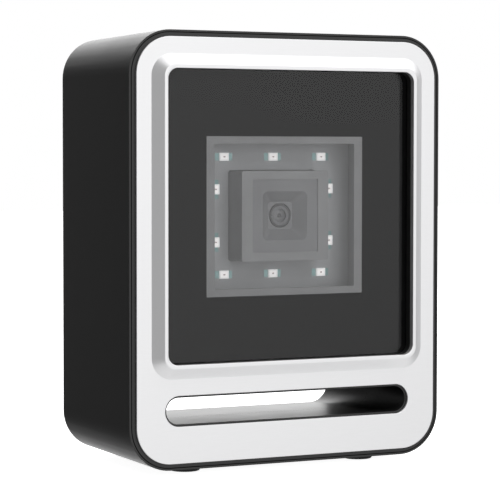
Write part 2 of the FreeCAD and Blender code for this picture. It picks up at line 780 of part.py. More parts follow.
def make_illumination():
    """The tray behind the clear part of the glass, its board, LEDs, their pads and resistors."""
    body = new_body("light_shroud")
    outline = new_sketch(body, "shroud_outline", "ink_back")
    add_rounded_rectangle(outline, "shroud_width", "shroud_height", "shroud_radius",
                          up="engine_middle")
    pad(body, outline, "light_depth")
    opening = new_sketch(body, "shroud_opening", "ink_back")
    add_rounded_rectangle(opening, "shroud_open_width", "shroud_open_height", "hood_step_radius",
                          up="engine_middle")
    pocket(body, opening, "light_depth")
    inside = new_sketch(body, "shroud_inside", "ink_back + shroud_face")
    add_rounded_rectangle(inside, "shroud_width - 2 * shroud_wall",
                          "shroud_height - 2 * shroud_wall", "shroud_radius / 2",
                          up="engine_middle")
    pocket(body, inside, "light_depth - shroud_face")

    body = new_body("led_board")
    board = new_sketch(body, "led_board_outline", "led_board_face")
    add_rounded_rectangle(board, "shroud_width", "shroud_height", "shroud_radius / 2",
                          up="engine_middle")
    gap = "2 * hood_clearance"
    add_rounded_rectangle(board, f"hood_width + {gap}", f"hood_height + {gap}",
                          "hood_radius + hood_clearance", up="engine_middle")
    pad(body, board, "board_thickness")

    packages, phosphors, pads = [], [], []
    face = "led_board_face - led_height"
    for number, (across, up, lying) in enumerate(led_places(), 1):
        size = ("led_length", "led_width") if lying else ("led_width", "led_length")
        outer = plate(f"led_block_{number}", size[0], "led_height", size[1], face, across, up)
        cup_size = [f"{side} - 2 * led_wall" for side in size]
        cup = plate(f"led_cup_{number}", cup_size[0], "led_phosphor_depth", cup_size[1], face,
                    across, up)
        packages.append(cut(f"led_package_{number}", outer, cup))
        phosphors.append(plate(f"led_phosphor_{number}", cup_size[0], "led_phosphor_depth",
                               cup_size[1], face, across, up))
        for end in ("-", "+"):
            away = f"{end} (led_length + pad_length) / 2"
            wide, high = ("pad_length", "pad_width") if lying else ("pad_width", "pad_length")
            pads.append(plate(f"led_pad_{len(pads) + 1}", wide, "pad_thickness", high,
                              "led_board_face - pad_thickness",
                              f"{across} {away}" if lying else across,
                              up if lying else f"{up} {away}"))
    group("led_packages", packages)
    group("led_phosphors", phosphors)
    group("led_pads", pads)
    resistors = []
    for number, (across, up) in enumerate(corners("led_pitch / 2", "engine_middle - resistor_rise",
                                                  "engine_middle + resistor_rise"), 1):
        resistors.append(plate(f"led_resistor_{number}", "resistor_length",
                               "resistor_thickness", "resistor_width",
                               "led_board_face - resistor_thickness", across, up))
    group("led_resistors", resistors)


# ---------------------------------------------------------------- camera

def make_turned(label, points):
    """A turned piece: a closed profile of (radius, depth) points, spun round the lens axis."""
    body = new_body(label)
    base = [item for item in body.Origin.OriginFeatures if item.Role == "XY_Plane"][0]
    sketch = body.newObject("Sketcher::SketchObject", label + "_profile")
    sketch.AttachmentSupport = (base, [""])
    sketch.MapMode = "FlatFace"
    bind(sketch, "AttachmentOffset.Base.z", "engine_middle")
    spots = [(value(radius), value(depth)) for radius, depth in points]
    count = len(spots)
    ids = [sketch.addGeometry(line(spots[place], spots[(place + 1) % count]), False)
           for place in range(count)]
    for place, item in enumerate(ids):
        constrain(sketch, Sketcher.Constraint("Coincident", item, 2, ids[(place + 1) % count], 1))
    for item, spot, (radius, depth) in zip(ids, spots, points):
        if abs(spot[0]) < 1e-9:
            constrain(sketch, Sketcher.Constraint("PointOnObject", item, 1, -2))
        else:
            constrain(sketch, Sketcher.Constraint("DistanceX", -1, 1, item, 1, spot[0]), radius)
        constrain(sketch, Sketcher.Constraint("DistanceY", -1, 1, item, 1, spot[1]), depth)
    turned = body.newObject("PartDesign::Revolution", label + "_turned")
    turned.Profile = sketch
    turned.ReferenceAxis = (sketch, ["V_Axis"])
    turned.Angle = 360
    return body


def make_camera():
    """Hood with a square funnel, focusing lens barrel in its holder, sensor and its board."""
    body = new_body("camera_hood")
    outline = new_sketch(body, "hood_outline", "hood_face")
    add_rounded_rectangle(outline, "hood_width", "hood_height", "hood_radius", up="engine_middle")
    pad(body, outline, "sensor_distance")
    mouth = new_sketch(body, "hood_funnel_mouth", "hood_face")
    add_rounded_rectangle(mouth, "funnel_width", "funnel_height", "funnel_radius",
                          up="engine_middle")
    floor = new_sketch(body, "hood_funnel_floor", "barrel_face")
    add_rounded_rectangle(floor, "funnel_floor", "funnel_floor", "funnel_floor_radius",
                          up="engine_middle")
    loft(body, "SubtractiveLoft", [mouth, floor])
    bore = new_sketch(body, "hood_bore", "barrel_face")
    add_circle(bore, "barrel_radius + barrel_free_gap", "0", "engine_middle")
    pocket(body, bore, "funnel_web")
    cavity = new_sketch(body, "hood_cavity", "barrel_face + funnel_web")
    side = "holder_side + 2 * holder_gap"
    add_rounded_rectangle(cavity, side, side, "hood_radius", up="engine_middle")
    pocket(body, cavity, "sensor_board_face - barrel_face - funnel_web")

    body = new_body("hood_gasket")
    ring = new_sketch(body, "hood_gasket_outline", "ink_back")
    add_rounded_rectangle(ring, "hood_width", "hood_height", "hood_radius", up="engine_middle")
    add_rounded_rectangle(ring, "hood_step_width", "hood_step_height", "hood_step_radius",
                          up="engine_middle")
    pad(body, ring, "hood_gasket")

    seat = "barrel_face + ring_thickness"
    shoulder = f"{seat} + lens_thickness"
    back = "barrel_face + barrel_length"
    barrel = make_turned("lens_barrel", (
        ("barrel_radius", "barrel_face"), ("barrel_radius", back),
        ("lens_radius - lens_shoulder", back), ("lens_radius - lens_shoulder", shoulder),
        ("lens_radius", shoulder), ("lens_radius", seat),
        ("ring_radius", seat), ("ring_radius", "barrel_face")))
    notches = new_sketch(barrel, "barrel_spanner_notches", "barrel_face")
    for sign in ("-", "+"):
        add_rounded_rectangle(notches, "notch_width", "notch_height", "notch_radius",
                              across=f"{sign}barrel_radius", up="engine_middle")
    document.recompute()
    pocket(barrel, notches, "notch_depth")
    make_turned("lens_retaining_ring", (
        ("ring_opening", "barrel_face + ring_recess"), ("ring_radius", "barrel_face + ring_recess"),
        ("ring_radius", seat), ("ring_opening", seat)))
    make_turned("lens_element", (
        ("0", "barrel_face + lens_crown_gap"),
        ("ring_opening / 2", "barrel_face + lens_crown_gap + lens_bulge"),
        ("ring_opening", seat), ("lens_radius", seat), ("lens_radius", shoulder),
        ("0", shoulder)))

    body = new_body("lens_holder")
    outer = new_sketch(body, "holder_outline", "barrel_face + funnel_web + holder_gap")
    add_rounded_rectangle(outer, "holder_side", "holder_side", "hood_radius", up="engine_middle")
    pad(body, outer, "sensor_board_face - barrel_face - funnel_web - holder_gap")
    bore = new_sketch(body, "holder_bore", "barrel_face + funnel_web + holder_gap")
    add_circle(bore, "barrel_radius + barrel_running_gap", "0", "engine_middle")
    pocket(body, bore, "barrel_length - funnel_web - holder_gap + barrel_end_gap")
    cavity = new_sketch(body, "holder_cavity", "sensor_board_face")
    add_rounded_rectangle(cavity, "sensor_width + 2 * sensor_clearance",
                          "sensor_height + 2 * sensor_clearance", "sensor_clearance",
                          up="engine_middle")
    pocket(body, cavity, "sensor_board_face - barrel_face - barrel_length - sensor_front_gap",
           forward=True)

    keep(plate("image_sensor_block", "sensor_width", "sensor_thickness", "sensor_height",
               "sensor_board_face - sensor_thickness"), "image_sensor")

    body = new_body("sensor_board")
    board = new_sketch(body, "sensor_board_outline", "sensor_board_face")
    add_rounded_rectangle(board, "sensor_board_width", "sensor_board_height", "board_radius",
                          up="engine_middle")
    for across, up in ENGINE_SCREWS:
        add_circle(board, "small_screw_radius + small_screw_gap", across, up)
    pad(body, board, "board_thickness")


# ---------------------------------------------------------------- inside

def make_chassis():
    """Plastic carrier plate that presses the illumination board and carries the sensor board."""
    body = new_body("inner_chassis")
    outline = new_sketch(body, "chassis_outline", "chassis_face")
    add_rounded_rectangle(outline, "chassis_width", "chassis_height", "chassis_radius",
                          up="engine_middle")
    gap = "2 * hood_clearance"
    add_rounded_rectangle(outline, f"hood_width + {gap}", f"hood_height + {gap}",
                          "hood_radius + hood_clearance", up="engine_middle")
    for across, up in CHASSIS_SCREWS:
        add_circle(outline, "small_screw_radius + small_screw_gap", across, up)
    pad(body, outline, "chassis_sheet")
    posts = new_sketch(body, "chassis_posts", "chassis_back")
    for across, up in ENGINE_SCREWS:
        add_circle(posts, "chassis_post_radius", across, up)
    pad(body, posts, "sensor_board_face - chassis_back")
    pilots = new_sketch(body, "chassis_pilots", "sensor_board_face")
    for across, up in ENGINE_SCREWS:
        add_circle(pilots, "small_screw_radius", across, up)
    pocket(body, pilots, "chassis_post_pilot", forward=True)


def make_decoder():
    """Decoder board on the rear wall, with its chips, connectors, buzzer and cable socket."""
    body = new_body("decoder_board")
    board = new_sketch(body, "decoder_outline", "decoder_face")
    add_rounded_rectangle(board, "decoder_width", "decoder_height", "board_radius",
                          up="decoder_middle")
    for across, up in BOARD_SCREWS:
        add_circle(board, "small_screw_radius + small_screw_gap", across, up)
    pad(body, board, "decoder_thickness")

    chip_middle = "decoder_middle + chip_rise"
    keep(plate("processor_block", "processor_side", "processor_thickness", "processor_side",
               "decoder_face - processor_thickness", "-processor_across", chip_middle),
         "processor_chip")
    memory = [plate(f"memory_block_{number}", "memory_width", "memory_thickness", "memory_height",
                    "decoder_face - memory_thickness",
                    f"memory_across + {number} * memory_pitch", chip_middle)
              for number in range(2)]
    group("memory_chips", memory)
    cans = [rod(f"capacitor_can_{number}", "capacitor_radius", "capacitor_length",
                f"{number} * capacitor_pitch - capacitor_across", "decoder_face - capacitor_length",
                "decoder_middle - capacitor_drop") for number in range(2)]
    group("capacitors", cans)

    connector_middle = "engine_middle - connector_drop"
    keep(plate("sensor_connector_block", "connector_width", "connector_depth", "connector_height",
               "sensor_board_back", up=connector_middle), "sensor_connector")
    keep(plate("decoder_connector_block", "connector_width", "connector_depth",
               "connector_height", "decoder_face - connector_depth", up=connector_middle),
         "decoder_connector")
    front, back = "(sensor_board_back + ribbon_bite)", "(decoder_face - ribbon_bite)"
    cable = []
    for name, start, length, height in (
            ("drop_front", front, "ribbon_sheet", "ribbon_drop"),
            ("run", front, f"{back} - {front}", "ribbon_sheet"),
            ("drop_rear", f"{back} - ribbon_sheet", "ribbon_sheet", "ribbon_drop")):
        low = f"{connector_middle} - connector_height / 2 - ribbon_drop"
        cable.append(block("ribbon_" + name, ("ribbon_width", length, height),
                           ("-ribbon_width / 2", start, low)))
    keep(fuse("ribbon", cable), "ribbon_cable")

    keep(rod("buzzer_can", "buzzer_radius", "buzzer_thickness", BUZZER_PLACE[0], "decoder_back",
             BUZZER_PLACE[1]), "buzzer")

    body = new_body("cable_socket")
    mouth = "decoder_back + socket_length"
    jack_middle = "socket_middle + jack_rise"
    shell = new_sketch(body, "socket_outline", "decoder_back")
    add_rounded_rectangle(shell, "socket_width", "socket_height", "socket_radius",
                          up="socket_middle")
    pad(body, shell, "socket_length")
    jack = new_sketch(body, "socket_cavity", mouth)
    add_rounded_rectangle(jack, "jack_width", "jack_height", "jack_radius", up=jack_middle)
    pocket(body, jack, "jack_depth", forward=True)
    latch = new_sketch(body, "socket_latch_way", mouth)
    add_rounded_rectangle(latch, "latch_width", "latch_height", "jack_radius",
                          up=f"{jack_middle} - jack_height / 2 - latch_drop")
    pocket(body, latch, "jack_depth", forward=True)
    side = "contact_side"
    contacts = [block(f"contact_{number}", (side, "contact_length", side),
                      (f"({number} - 3.5) * contact_pitch - {side} / 2",
                       f"{mouth} - contact_inset", f"{jack_middle} + jack_height / 2 - {side}"))
                for number in range(8)]
    group("socket_contacts", contacts)


# ---------------------------------------------------------------- screws

# Proportions of a pan-head screw, as shares of its shank's radius.
HEAD_RADIUS = 2
HEAD_HEIGHT = 1.2
RECESS_DEPTH = 0.6
RECESS_LENGTH = 2.2
RECESS_WIDTH = 0.4


def screw(name, radius, length, across, face, up, turn):
    """A pan-head screw with a cross recess; face is the seat of its head, and the shank runs
    from there in the direction of turn."""
    to_rear = turn is TOWARDS_REAR
    shank = rod(name + "_shank", radius, length, across, face, up, turn)
    head = rod(name + "_head", f"{HEAD_RADIUS} * {radius}", f"{HEAD_HEIGHT} * {radius}", across,
               face, up, TOWARDS_FRONT if to_rear else TOWARDS_REAR)
    whole = fuse(name + "_blank", [shank, head])
    if to_rear:
        start = f"{face} - {HEAD_HEIGHT} * {radius}"
    else:
        start = f"{face} + {HEAD_HEIGHT - RECESS_DEPTH} * {radius}"
    arms = []
    for arm, wide, high in (("flat", RECESS_LENGTH, RECESS_WIDTH),
                            ("upright", RECESS_WIDTH, RECESS_LENGTH)):
        arms.append(block(f"{name}_{arm}", (f"{wide} * {radius}", f"{RECESS_DEPTH} * {radius}",
                                            f"{high} * {radius}"),
                          (f"{across} - {wide} * {radius} / 2", start,
                           f"{up} - {high} * {radius} / 2")))
    return cut(name, whole, fuse(name + "_recess", arms))


def make_screws():
    """The fasteners, each set kept as one group of separate solids."""
    sets = (
        ("housing_screws", CASE_SCREWS, "case_screw_radius",
         "case_screw_bite - case_screw_tip_gap + case_screw_ledge",
         "boss_meet + case_screw_ledge", TOWARDS_FRONT),
        ("chassis_screws", CHASSIS_SCREWS, "small_screw_radius", "chassis_screw_length",
         "chassis_back", TOWARDS_FRONT),
        ("engine_screws", ENGINE_SCREWS, "small_screw_radius", "engine_screw_length",
         "sensor_board_back", TOWARDS_FRONT),
        ("decoder_screws", BOARD_SCREWS, "small_screw_radius", "decoder_screw_length",
         "decoder_face", TOWARDS_REAR),
    )
    for label, spots, radius, length, face, turn in sets:
        pieces = [screw(f"{label}_{number}", radius, length, across, face, up, turn)
                  for number, (across, up) in enumerate(spots, 1)]
        group(label, pieces)


make_rear_housing()
make_front_frame()
make_bezel()
make_window()
make_feet()
make_illumination()
make_camera()
make_chassis()
make_decoder()
make_screws()
document.recompute()

# ---------------------------------------------------------------- checks and export

for thing in document.Objects:
    if "Invalid" in thing.State or "Error" in thing.State:
        raise RuntimeError(f"{thing.Label} failed: {thing.State}")
for thing in sub_parts:
    if thing.Shape.isNull() or not thing.Shape.isValid():
        raise RuntimeError(thing.Label + " has no valid shape")

os.makedirs("parts", exist_ok=True)
for thing in sub_parts:
    thing.Shape.exportStep(f"parts/{thing.Label}.step")
    box = thing.Shape.BoundBox
    print(f"{thing.Label:20s} solids {len(thing.Shape.Solids):2d} volume {thing.Shape.Volume:10.1f}"
          f" x {box.XMin:7.2f} {box.XMax:7.2f} y {box.YMin:7.2f} {box.YMax:7.2f}"
          f" z {box.ZMin:7.2f} {box.ZMax:7.2f}")
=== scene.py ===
import json
import math

import bmesh
import bpy
from bpy.props import FloatProperty, FloatVectorProperty, PointerProperty, StringProperty
from mathutils import Matrix, Vector

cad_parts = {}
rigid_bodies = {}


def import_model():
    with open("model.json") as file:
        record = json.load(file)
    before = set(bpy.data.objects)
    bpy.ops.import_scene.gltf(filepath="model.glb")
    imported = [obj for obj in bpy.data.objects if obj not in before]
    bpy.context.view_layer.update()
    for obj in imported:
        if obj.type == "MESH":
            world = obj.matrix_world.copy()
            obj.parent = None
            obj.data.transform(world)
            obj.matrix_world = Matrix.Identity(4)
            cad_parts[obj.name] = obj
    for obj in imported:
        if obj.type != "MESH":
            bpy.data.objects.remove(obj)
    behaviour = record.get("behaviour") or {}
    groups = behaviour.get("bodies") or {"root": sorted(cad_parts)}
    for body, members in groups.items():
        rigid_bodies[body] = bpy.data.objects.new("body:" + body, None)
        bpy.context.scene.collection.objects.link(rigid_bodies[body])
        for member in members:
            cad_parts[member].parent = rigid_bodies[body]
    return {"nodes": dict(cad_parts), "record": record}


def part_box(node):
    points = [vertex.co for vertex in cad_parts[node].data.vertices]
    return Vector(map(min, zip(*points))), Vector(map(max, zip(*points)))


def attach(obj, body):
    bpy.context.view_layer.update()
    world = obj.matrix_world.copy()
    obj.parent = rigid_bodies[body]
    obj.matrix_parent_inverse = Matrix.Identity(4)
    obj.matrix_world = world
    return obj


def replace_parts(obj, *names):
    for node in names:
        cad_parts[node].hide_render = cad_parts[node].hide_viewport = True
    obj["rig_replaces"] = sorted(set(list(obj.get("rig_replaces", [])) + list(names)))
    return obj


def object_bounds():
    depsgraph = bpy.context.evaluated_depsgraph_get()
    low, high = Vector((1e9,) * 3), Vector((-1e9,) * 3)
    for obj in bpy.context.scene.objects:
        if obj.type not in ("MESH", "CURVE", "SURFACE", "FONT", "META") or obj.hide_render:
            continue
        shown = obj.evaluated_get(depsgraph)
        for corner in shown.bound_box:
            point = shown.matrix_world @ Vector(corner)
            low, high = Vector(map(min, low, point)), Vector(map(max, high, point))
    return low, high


bl_info = {
    "name": "Counter scanner finish",
    "version": (1, 0, 0),
    "blender": (4, 5, 0),
    "location": "3D View > Sidebar > Scanner",
    "description": "Finishes the parts of an upright bar code scanner and sets up its stage",
    "category": "Object",
}

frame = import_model()
CAD_LOW, CAD_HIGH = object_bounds()
MM = 0.001
BODY, BARREL = "scanner_body", "focus_barrel"
PARTS_OF_BARREL = ("lens_barrel", "lens_retaining_ring", "lens_element")
POLISHED = ("rear_housing", "front_frame")
CORNER_STEPS = 20        # straight pieces in each rounded corner of the plate and the ink
BEND_STEPS = 5           # straight pieces in each bend of a section
EDGE_STEPS = 3           # straight pieces in each rounded moulded edge
WELD = 0.002 * MM        # points of a part closer than this are one
SEAM = 0.0005 * MM       # the same for the plate, whose sections meet exactly
FLUSH = 0.001 * MM       # rings closer in depth than this lie in one plane
WIDEST_CORNER = 0.4999   # of a side: a corner radius stays just under half of it
FLAT_ANGLE = 0.5         # degrees: faces that meet flatter than this are one
SHARP_ANGLE = 60         # degrees: edges sharper than this are rounded
SMOOTH_ANGLE = 35        # degrees: edges flatter than this are shaded smooth
MARGIN = 1.0 * MM        # flat run beside a bend, from which its arc starts
REAR_SKIN = 0.5 * MM     # faces this close to the back belong to the rear wall, not the tunnel
CLOUD_MM = 14.0          # size of the faint uneven patches in moulded plastic
FLOOR_SIZE = 3.0         # metres from the middle of the floor to its edge


# ---------------------------------------------------------------- settings

def length(name, default_mm, description):
    return FloatProperty(name=name, description=description, default=default_mm * MM,
                         min=0.0, unit="LENGTH", precision=5)


def tone(name, default, description):
    return StringProperty(name=name, description=description, default=default)


class ScannerEdges(bpy.types.PropertyGroup):
    """How far the moulded and pressed edges are rounded."""
    moulded: length("Moulded edge", 0.22, "Rounding of the edges of moulded plastic")
    frame: length("Frame edge", 0.13, "Rounding of the edges of the front frame")
    pressed: length("Pressed edge", 0.25, "Rounding of the cut edges of the silver plate")
    bend: length("Plate bend", 0.35, "Rounding of the plate's bends round the window")


class ScannerPlate(bpy.types.PropertyGroup):
    """Sizes of the pressed plate, the window in it and the ink behind the glass."""
    sheet: length("Sheet", 0.8, "Thickness of the plate")
    corner: length("Corner", 13.0, "Radius of the plate's outer corners")
    rim_slope: length("Rim slope", 3.7, "Width of the sloping side of the rim")
    rim_lip: length("Rim lip", 1.3, "Width of the flat top of the rim")
    fold: length("Fold", 2.0, "How far the rim is folded back into the window")
    foot_corner: length("Rim foot corner", 7.7, "Corner radius where the rim meets the plate")
    window_corner: length("Window corner", 3.7, "Corner radius of the window opening")
    glass_overlap: length("Glass overlap", 2.5, "How far the glass reaches behind its frame")
    slot_width: length("Slot width", 96.0, "Length of the slot, end to end")
    slot_height: length("Slot height", 10.5, "Height of the slot")
    tunnel_width: length("Tunnel width", 104.0, "Width that holds all of the slot's tunnel")
    tunnel_reach: length("Tunnel reach", 7.6, "Half the height of the slot's tunnel at the rear")
    clear_width: length("Clear width", 61.6, "Width of the clear part of the glass")
    clear_height: length("Clear height", 55.4, "Height of the clear part of the glass")
    clear_corner: length("Clear corner", 0.3, "Corner radius of the clear part")
    ink_bond: length("Ink bond", 0.01, "How far the ink is bonded into the back of the glass")
    die_width: length("Die width", 0.9, "Width of the chip that shows in each lamp")
    die_height: length("Die height", 0.6, "Height of the chip that shows in each lamp")
    die_proud: length("Die proud", 0.02, "How far the chip shows in front of the gel")
    # the pupil is painted shade in the lens's colour
    pupil: length("Pupil", 0.9, "Radius of the dark pupil in the middle of the lens")


class ScannerColours(bpy.types.PropertyGroup):
    """Surface colours, as sRGB hex values."""
    case: tone("Casing", "#191919", "Black ABS of the housing and front frame")
    plate: tone("Plate", "#F2F2F3", "Silver lacquer of the front plate")
    ink: tone("Window ink", "#0A0A0B", "Black ink behind the glass")
    shroud: tone("Lamp tray", "#8F9092", "Grey plastic round the lamps")
    lamp_board: tone("Lamp board", "#ABADB0", "Solder mask of the lamp board")
    hood: tone("Camera hood", "#86878A", "Grey plastic of the camera hood")
    lamp_pad: tone("Lamp pad", "#8FB0B0", "Tinned pads at the ends of each lamp")


class ScannerStage(bpy.types.PropertyGroup):
    """Camera, lights and floor. Brightness is by direction, because a box with flat sides shows
    what it mirrors."""
    camera_place: FloatVectorProperty(
        name="Camera place", description="Where the camera stands", subtype="TRANSLATION",
        unit="LENGTH", default=(-0.36545, -0.70918, 0.11148))
    camera_turn: FloatProperty(name="Turn", description="Turn to the right, seen from above",
                               default=math.radians(27.24), subtype="ANGLE")
    camera_dip: FloatProperty(name="Dip", description="Tilt below the horizon",
                              default=math.radians(2.60), subtype="ANGLE")
    camera_roll: FloatProperty(name="Roll", description="Roll about the line of sight",
                               default=math.radians(0.06), subtype="ANGLE")
    focal: FloatProperty(name="Focal length", description="In millimetres, on a 36 mm sensor",
                         default=159.54)
    floor: tone("Floor", "#F7F7F7", "Matt white floor")
    glow: FloatProperty(name="Floor glow", description="Light through the floor", default=1.0)
    key: FloatProperty(name="Key light", description="Power of the softbox", default=8.0)
    top: FloatProperty(name="Top", description="Brightness above", default=1.25)
    front: FloatProperty(name="Front", description="Brightness to the front right", default=0.42)
    window: FloatProperty(name="Window", description="Brightness in front, above", default=0.65)
    left: FloatProperty(name="Left", description="Brightness to the front left", default=0.12)
    rear: FloatProperty(name="Rear", description="Brightness to the rear right", default=1.6)
    below: FloatProperty(name="Below", description="Brightness from below", default=0.56)
    fill: FloatProperty(name="Fill", description="Brightness all round", default=0.08)


SETTINGS = {"scanner_edges": ScannerEdges, "scanner_plate": ScannerPlate,
            "scanner_colours": ScannerColours, "scanner_stage": ScannerStage}


# ---------------------------------------------------------------- materials

def linear(code):
    """An sRGB hex value as linear colour with full alpha."""
    parts = [int(code[place:place + 2], 16) / 255 for place in (1, 3, 5)]
    return [part / 12.92 if part <= 0.04045 else ((part + 0.055) / 1.055) ** 2.4
            for part in parts] + [1.0]


def add(material, kind, values=None, links=None, **settings):
    """Adds one node: settings are its properties, values its constants, links its inputs."""
    tree = material.node_tree
    node = tree.nodes.new("ShaderNode" + kind)
    for name, content in settings.items():
        setattr(node, name, content)
    for name, content in (values or {}).items():
        node.inputs[name].default_value = content
    for name, source in (links or {}).items():
        tree.links.new(source, node.inputs[name])
    return node


def new_material(name):
    material = bpy.data.materials.new(name)
    material.use_nodes = True
    material.node_tree.nodes.clear()
    return material


def surface(material, shader, socket="BSDF"):
    add(material, "OutputMaterial", links={"Surface": shader.outputs[socket]})
    return material


def scaled(colour, share):
    return [channel * share for channel in colour[:3]] + [1.0]


def skin(name, tints, roughness, change, texture, patches, height_mm, **sockets):
    """A solid finish. texture and patches are two noises, each with the size of its features in
    millimetres, its stretch and its detail: texture is raised by height_mm, and patches run
    between the two tints and change the roughness either way. A small stretch along an axis
    makes features longer along it."""
    material = new_material(name)
    place = add(material, "TexCoord").outputs["Object"]
    noises = []
    for size_mm, stretch, detail in (texture, patches):
        turned = add(material, "Mapping", {"Scale": stretch}, {"Vector": place})
        noise = add(material, "TexNoise", {"Scale": 1.0 / (size_mm * MM), "Detail": detail},
                    {"Vector": turned.outputs["Vector"]})
        noises.append(noise.outputs["Fac"])
    fine, broad = noises
    tint = add(material, "ValToRGB", links={"Fac": broad})
    for stop, position, colour in zip(tint.color_ramp.elements, (0.35, 0.65), tints):
        stop.position = position
        stop.color = colour
    rough = add(material, "MapRange", {"To Min": roughness - change, "To Max": roughness + change},
                {"Value": broad})
    raised = add(material, "Bump", {"Distance": height_mm * MM}, {"Height": fine})
    values = {socket.replace("_", " "): content for socket, content in sockets.items()}
    return surface(material, add(material, "BsdfPrincipled", values, {
        "Base Color": tint.outputs["Color"], "Roughness": rough.outputs["Result"],
        "Normal": raised.outputs["Normal"]}))


def plastic(name, code, roughness, texture_mm, height_mm, spread=0.06, sheen=0.5, glow=0.0):
    """Moulded plastic: a fine eroded texture breaks up its reflections. glow is emission: a
    painted glow that makes the part brighter than its colour alone can reflect."""
    colour = linear(code)
    return skin(name, (scaled(colour, 1 - spread), scaled(colour, 1 + spread)), roughness, 0.03,
                (texture_mm, (1, 1, 1), 2.0), (CLOUD_MM, (1, 1, 1), 2.0), height_mm, IOR=1.54,
                Specular_IOR_Level=sheen, Emission_Color=colour, Emission_Strength=glow)


def metal(name, code, roughness, grain_mm, stretch, height_mm, metallic=1.0):
    """Metal or metallic lacquer with a directional grain that stretches its highlights."""
    colour = linear(code)
    grain = (grain_mm, stretch, 3.0)
    return skin(name, (scaled(colour, 0.985), colour), roughness, 0.04, grain, grain, height_mm,
                Metallic=metallic)


def coated_lens(name, middle, radius):
    """Coated optical glass: painted shade for a dark pupil, in a paler, bluish-grey painted
    reflection.
    """
    material = new_material(name)
    place = add(material, "TexCoord")
    flat = add(material, "VectorMath", {1: (1, 0, 1)}, {0: place.outputs["Object"]},
               operation="MULTIPLY")
    away = add(material, "VectorMath", {1: (middle[0], 0, middle[1])},
               {0: flat.outputs["Vector"]}, operation="DISTANCE")
    pale = add(material, "MapRange", {"From Min": 0.7 * radius, "From Max": 1.3 * radius},
               {"Value": away.outputs["Value"]}, interpolation_type="SMOOTHSTEP")
    # the ramp paints the colour: shade in the middle, a paler reflection round it
    tint = add(material, "ValToRGB", links={"Fac": pale.outputs["Result"]})
    tint.color_ramp.elements[0].color = linear("#2A2B30")
    tint.color_ramp.elements[1].color = linear("#77787C")
    return surface(material, add(material, "BsdfPrincipled", {"Roughness": 0.12, "IOR": 1.6},
                                 {"Base Color": tint.outputs["Color"]}))


def float_glass(name, tint, reflect_ior):
    """Flat polished glass: clear straight through, with a mirror reflection that grows towards
    grazing angles."""
    material = new_material(name)
    edge = add(material, "Fresnel", {"IOR": reflect_ior})
    clear = add(material, "BsdfTransparent", {"Color": linear(tint)})
    mirror = add(material, "BsdfGlossy", {"Roughness": 0.0, "Color": (1, 1, 1, 1)})
    both = add(material, "MixShader")
    material.node_tree.links.new(edge.outputs["Fac"], both.inputs[0])
    material.node_tree.links.new(clear.outputs["BSDF"], both.inputs[1])
    material.node_tree.links.new(mirror.outputs["BSDF"], both.inputs[2])
    return surface(material, both, "Shader")


